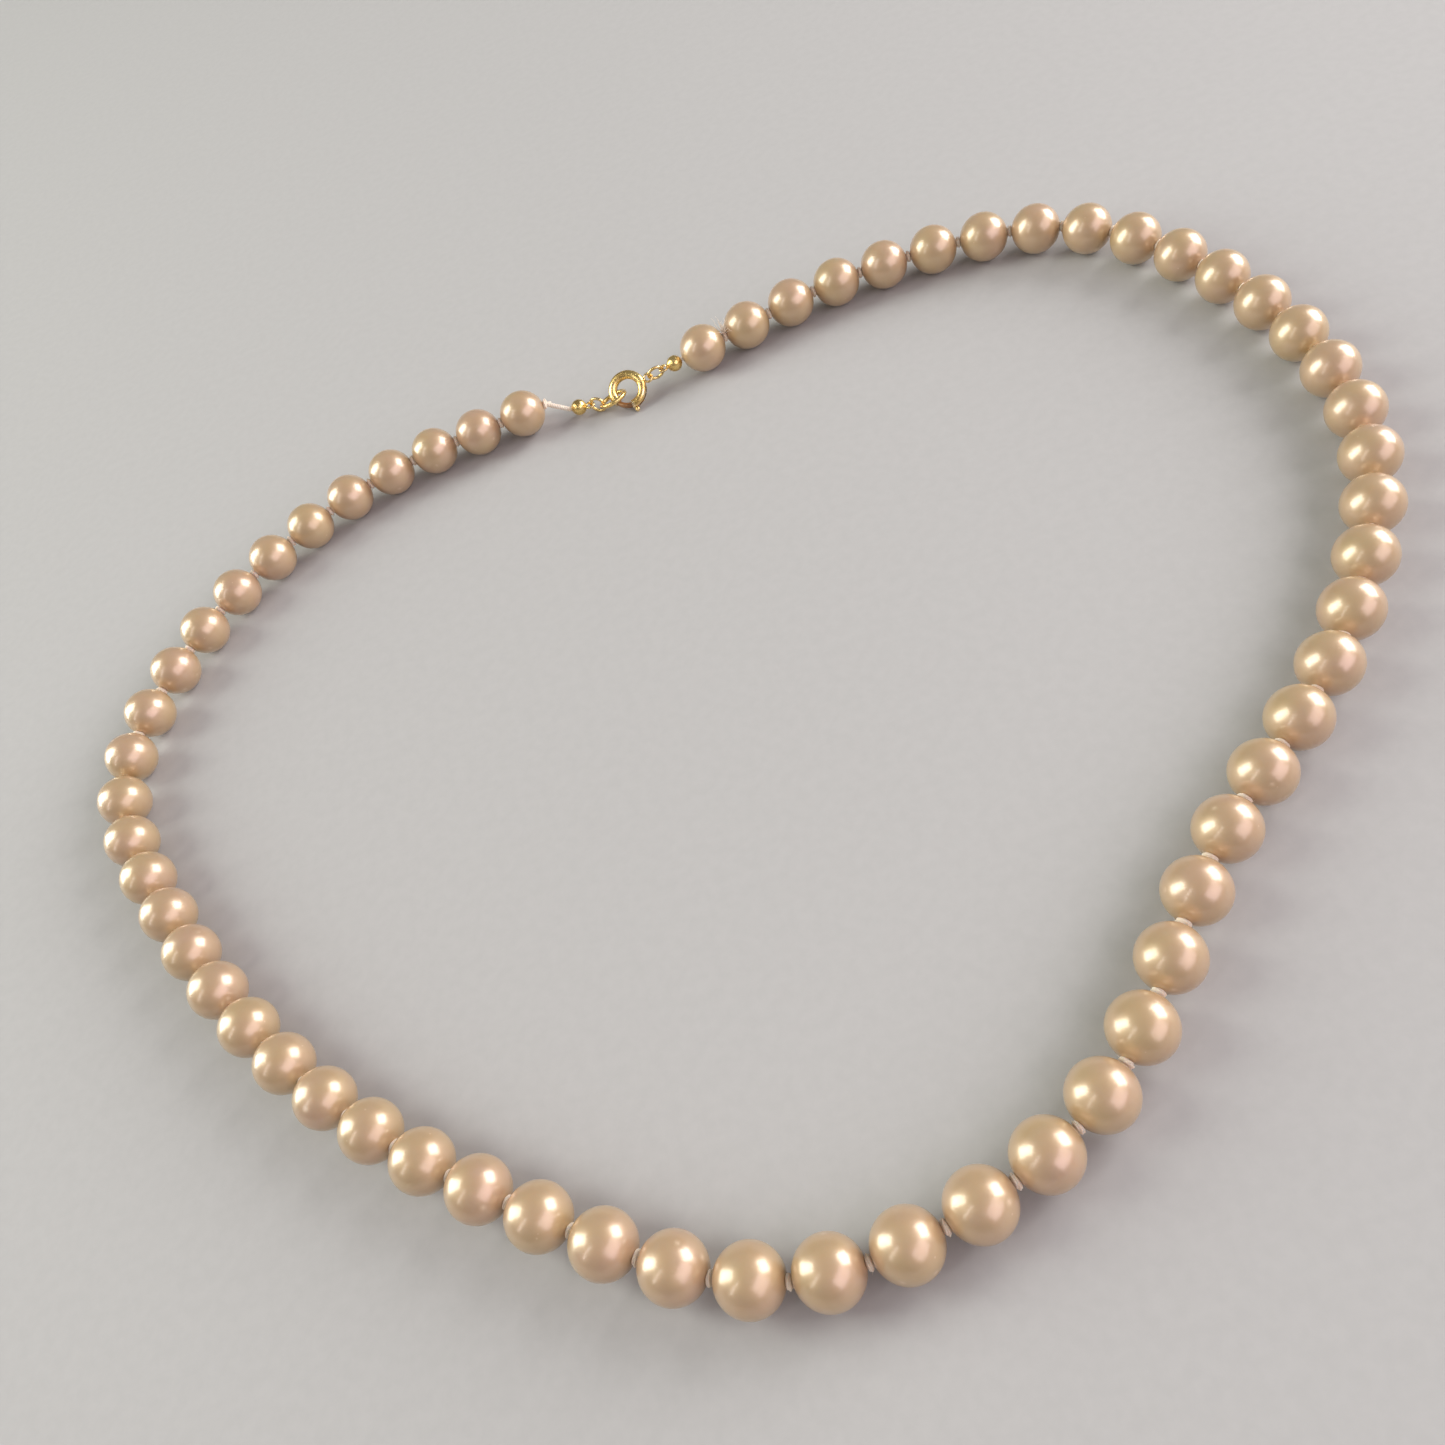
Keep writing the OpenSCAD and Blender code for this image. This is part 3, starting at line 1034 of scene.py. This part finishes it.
def ring_path(centre, normal, radius, towards, count, first=0.0, last=math.tau):
    """Points round a ring, counted from the side that faces towards."""
    side = (towards - normal * towards.dot(normal)).normalized()
    other = normal.cross(side)
    return [
        centre + (side * math.cos(a) + other * math.sin(a)) * radius
        for a in (first + (last - first) * k / count for k in range(count))
    ]


def wire_radius(wire, seed, dents=0.03):
    """A wire's radius with the small unevenness of drawn and handled wire."""

    def radius(i, angle):
        return wire * (1 - dents * (0.5 + 0.5 * noise.noise(Vector((i * 0.13, angle, seed)))))

    return radius


class NECKLACE_OT_knot_cups(bpy.types.Operator):
    """Build the two folded knot cups with their loops"""

    bl_idname = "necklace.knot_cups"
    bl_label = "Knot cups"

    def execute(self, context):
        material = gold_material(context.scene.necklace_metal)
        for side, towards in (("left", KNOTS[0]), ("right", KNOTS[-1])):
            node = f"knot_cup_{side}"
            centre, radius, direction = cup_measures(node, towards)
            inner = radius - CUP_WALL * MM
            mouth = CUP_MOUTH_R * MM
            edge = math.asin(mouth / radius)
            inner_edge = math.asin(mouth / inner)
            rows, inner_rows = 26, 16
            profile = [(-radius, 0)]
            for k in range(1, rows + 1):
                a = (math.pi - edge * 1.25) * k / rows
                profile.append((-radius * math.cos(a), radius * math.sin(a)))
            lip = radius * math.cos(edge) + 0.03 * MM
            profile += [(lip, mouth + 0.07 * MM), (lip, mouth + 0.02 * MM)]
            for k in range(inner_rows):
                a = inner_edge + (math.pi - inner_edge) * k / inner_rows
                profile.append((inner * math.cos(a), inner * math.sin(a)))
            profile.append((-inner, 0))
            seam = direction.cross(UP).normalized()

            def shape(point, angle, along, out):
                away = point - centre
                if away.length < inner * 1.04:
                    return point
                off = abs(away.dot(UP)) / MM
                across = abs(away.dot(seam))
                groove = math.exp(-((off / SEAM_WIDTH) ** 2)) * min(1.0, across / (0.3 * MM))
                dent = 0.012 * noise.noise(away / MM * 2.2)
                depth = (SEAM_DEPTH * groove + dent) * MM
                return centre + away.normalized() * (away.length - depth)

            bm = bmesh.new()
            add_lathe(bm, centre, direction, profile, 64, shape)
            loop_at = centre - direction * (radius + LOOP_R * MM)
            loop = ring_path(loop_at, UP, LOOP_R * MM, direction, 44)
            add_tube(bm, loop, wire_radius(LOOP_WIRE_R * MM, 3.0), 16, closed=True)
            finish_piece(f"folded_{node}", bm, material, f"{side}_tail", [node])
        return {"FINISHED"}


class NECKLACE_OT_rings(bpy.types.Operator):
    """Build the cut jump rings, the closed end ring and the clasp's soldered loop"""

    bl_idname = "necklace.rings"
    bl_label = "Rings"

    def execute(self, context):
        look = context.scene.necklace_metal
        material = gold_material(look)
        for side, towards in (("left", UP), ("right", -UP)):
            node = f"jump_ring_{side}"
            centre, normal, radius, wire = ring_measures(node)
            half_cut = look.cut_gap / 2 / radius
            ends = (CUT_ANGLE + half_cut, CUT_ANGLE + math.tau - half_cut)
            path = ring_path(centre, normal, radius, towards, 76, *ends)
            for k, point in enumerate(path):
                point += normal * (k / len(path) - 0.5) * CUT_TWIST * MM
            bm = bmesh.new()
            add_tube(bm, path, wire_radius(wire, 5.0), 20)
            bmesh.ops.bevel(
                bm,
                geom=[e for e in bm.edges if any(len(f.verts) > 4 for f in e.link_faces)],
                offset=CUT_BEVEL * MM,
                segments=2,
                affect="EDGES",
            )
            finish_piece(f"cut_{node}", bm, material, f"{side}_jump_ring", [node])
        self.end_ring(material)
        self.clasp_loop(material)
        return {"FINISHED"}

    def end_ring(self, material):
        """The closed ring that the clasp catches, a little thin at its soldered joint."""
        centre, normal, radius, wire = ring_measures("end_ring")
        path = ring_path(centre, normal, radius, Vector((-1, 0, 0)), END_RING_POINTS)
        plain = wire_radius(wire, 8.0)

        def soldered(i, angle):
            return plain(i, angle) - 0.02 * MM * math.exp(-(((i - END_RING_JOINT) / 0.9) ** 2))

        bm = bmesh.new()
        add_tube(bm, path, soldered, 24, closed=True)
        finish_piece("soldered_end_ring", bm, material, "end_ring", ["end_ring"])

    def clasp_loop(self, material):
        """The loop on the clasp's case, with its solder."""
        centre, normal, radius, wire = ring_measures("bolt_ring_loop")
        pull = Vector(JOINTS["bolt_ring_swing"]["axis"]).normalized()
        path = ring_path(centre, normal, radius, pull, 56)
        bm = bmesh.new()
        add_tube(bm, path, wire_radius(wire * SOLDERED_LOOP_WIRE, 2.0), 18, closed=True)
        add_solder(bm, centre - pull * radius, pull, wire)
        finish_piece("soldered_loop", bm, material, "bolt_ring", ["bolt_ring_loop"])


def add_solder(bm, at, direction, wire):
    """A small fillet of solder where the loop meets the case."""
    rows = 8
    profile = [(-wire * 0.5, wire * 1.9)]
    for k in range(1, rows + 1):
        s = k / rows
        profile.append((-wire * 0.5 + wire * 1.1 * s, wire * (1.9 - 1.2 * s**0.6)))
    close_ends(bm, add_lathe(bm, at, direction, profile, 24))


class NECKLACE_OT_bolt_ring(bpy.types.Operator):
    """Finish the bolt ring: its case, sliding tongue, spring and ribbed thumb knob"""

    bl_idname = "necklace.bolt_ring"
    bl_label = "Bolt ring"

    def execute(self, context):
        look = context.scene.necklace_metal
        gold = gold_material(look)
        tongue = tongue_material(look)
        for node, material in (
            ("bolt_ring_case", gold),
            ("bolt_tongue", tongue),
            ("bolt_spring", steel_material()),
        ):
            mesh = frame["nodes"][node].data
            mesh.materials.clear()
            mesh.materials.append(material)
        centre = Vector(JOINTS["thumb_knob_slide"]["pos_m"])
        normal = Vector(JOINTS["thumb_knob_slide"]["axis"]).normalized()
        points = [p - centre for p in node_points("thumb_knob")]
        middle = sum(points, Vector()) / len(points)
        out = (middle - normal * middle.dot(normal)).normalized()
        far = max(p.dot(out) for p in points)
        near = min(p.dot(out) for p in points)
        size = KNOB_R * MM
        button = far - size
        stem = STEM_R * MM
        profile = [(near, 0), (near, stem), (button - size * 0.86, stem)]
        rows = 20
        for k in range(1, rows):
            a = math.pi * (0.17 + 0.83 * k / rows)
            profile.append((button - size * math.cos(a), size * math.sin(a) ** 0.8))
        profile.append((far, 0))
        along_tube = normal.cross(out).normalized()

        def ribbed(point, angle, along, wide):
            if along < button - size * 0.5:
                return point
            offset = (point - centre).dot(along_tube) / MM
            rib = 0.5 + 0.5 * math.cos(offset * math.tau / RIB_PITCH)
            axis_point = centre + out * (button - size * 0.2)
            return axis_point + (point - axis_point) * (1 - 0.09 * (1 - rib))

        bm = bmesh.new()
        add_lathe(bm, centre, out, profile, 56, ribbed)
        finish_piece("ribbed_thumb_knob", bm, gold, "bolt", ["thumb_knob"])
        return {"FINISHED"}


# ---------------------------------------------------------------- stage


def add_soft_light(name, azimuth, elevation, distance, width, height, power, colour):
    """A soft rectangular light that looks at the necklace, its direction given in degrees."""
    data = bpy.data.lights.new(name, "AREA")
    data.shape = "RECTANGLE"
    data.size, data.size_y = width, height
    data.energy = power
    data.color = colour
    light = bpy.data.objects.new(name, data)
    bpy.context.scene.collection.objects.link(light)
    a, e = math.radians(azimuth), math.radians(elevation)
    away = Vector((math.sin(a) * math.cos(e), math.cos(a) * math.cos(e), math.sin(e)))
    light.location = away * distance
    light.rotation_mode = "QUATERNION"
    light.rotation_quaternion = (-away).to_track_quat("-Z", "Y")
    light.visible_camera = False


class NECKLACE_OT_stage(bpy.types.Operator):
    """Set the plain pale floor, the soft lights and the camera"""

    bl_idname = "necklace.stage"
    bl_label = "Stage"

    def execute(self, context):
        look = context.scene.necklace_stage
        scene = context.scene
        bm = bmesh.new()
        bmesh.ops.create_grid(bm, x_segments=2, y_segments=2, size=4.0)
        mesh = bpy.data.meshes.new("pale_floor")
        bm.to_mesh(mesh)
        bm.free()
        floor = bpy.data.objects.new("pale_floor", mesh)
        scene.collection.objects.link(floor)
        material, tree, skin = blank_material("pale_floor")
        drift = tone_drift(tree, 30.0, 700.0)
        darker = tuple(c * 0.965 for c in look.floor)
        tone = mixed(tree, drift.outputs["Fine"], look.floor, darker)
        set_skin(tree, skin, Base_Color=tone, Roughness=0.8)
        mesh.materials.append(material)

        world = bpy.data.worlds.new("soft_room")
        scene.world = world
        world.use_nodes = True
        background = world.node_tree.nodes["Background"]
        background.inputs["Color"].default_value = (*look.surround, 1)
        background.inputs["Strength"].default_value = look.surround_strength

        for name, azimuth, elevation, distance, width, height, power, colour in SOFT_LIGHTS:
            watts = power * look.light_strength
            add_soft_light(name, azimuth, elevation, distance, width, height, watts, colour)
        scene.view_settings.view_transform = "Standard"

        data = bpy.data.cameras.new("camera")
        data.lens = look.lens
        data.sensor_width = 36
        data.clip_start = 0.002
        data.clip_end = 50
        camera = bpy.data.objects.new("camera", data)
        scene.collection.objects.link(camera)
        turn = Matrix.Identity(4)
        for angle, axis in CAMERA_TURNS:
            turn = turn @ Matrix.Rotation(math.radians(angle), 4, axis)
        camera.matrix_world = Matrix.Translation(Vector(CAMERA_PLACE) * MM) @ turn
        scene.camera = camera
        return {"FINISHED"}


# ---------------------------------------------------------------- add-on


class NECKLACE_PT_panel(bpy.types.Panel):
    """The pieces of the necklace, in the order in which they are built"""

    bl_idname = "NECKLACE_PT_panel"
    bl_label = "Pearl necklace"
    bl_space_type = "VIEW_3D"
    bl_region_type = "UI"
    bl_category = "Necklace"

    def draw(self, context):
        layout = self.layout
        for operator in OPERATORS:
            layout.operator(operator.bl_idname)
        for name in SETTINGS:
            box = layout.box()
            group = getattr(context.scene, name)
            for field in group.bl_rna.properties:
                if field.identifier not in {"name", "rna_type"}:
                    box.prop(group, field.identifier)


OPERATORS = (
    NECKLACE_OT_stage,
    NECKLACE_OT_pearls,
    NECKLACE_OT_silk,
    NECKLACE_OT_bending_knots,
    NECKLACE_OT_silk_ends,
    NECKLACE_OT_knot_cups,
    NECKLACE_OT_rings,
    NECKLACE_OT_bolt_ring,
)
SETTINGS = {
    "necklace_pearls": PearlLook,
    "necklace_silk": SilkLook,
    "necklace_metal": MetalLook,
    "necklace_stage": StageLook,
}


def register():
    """Adds the settings, the operators and the panel."""
    for name, group in SETTINGS.items():
        bpy.utils.register_class(group)
        setattr(bpy.types.Scene, name, bpy.props.PointerProperty(type=group))
    for cls in (*OPERATORS, NECKLACE_PT_panel):
        bpy.utils.register_class(cls)


def unregister():
    """Takes away what register added."""
    for cls in (NECKLACE_PT_panel, *reversed(OPERATORS)):
        bpy.utils.unregister_class(cls)
    for name, group in SETTINGS.items():
        delattr(bpy.types.Scene, name)
        bpy.utils.unregister_class(group)


def main():
    """Builds every piece in order."""
    register()
    for operator in OPERATORS:
        step = operator.bl_idname.removeprefix("necklace.")
        if getattr(bpy.ops.necklace, step)() != {"FINISHED"}:
            raise RuntimeError(f"{step} wasn't built")
    bpy.context.view_layer.update()


if __name__ == "__main__":
    main()
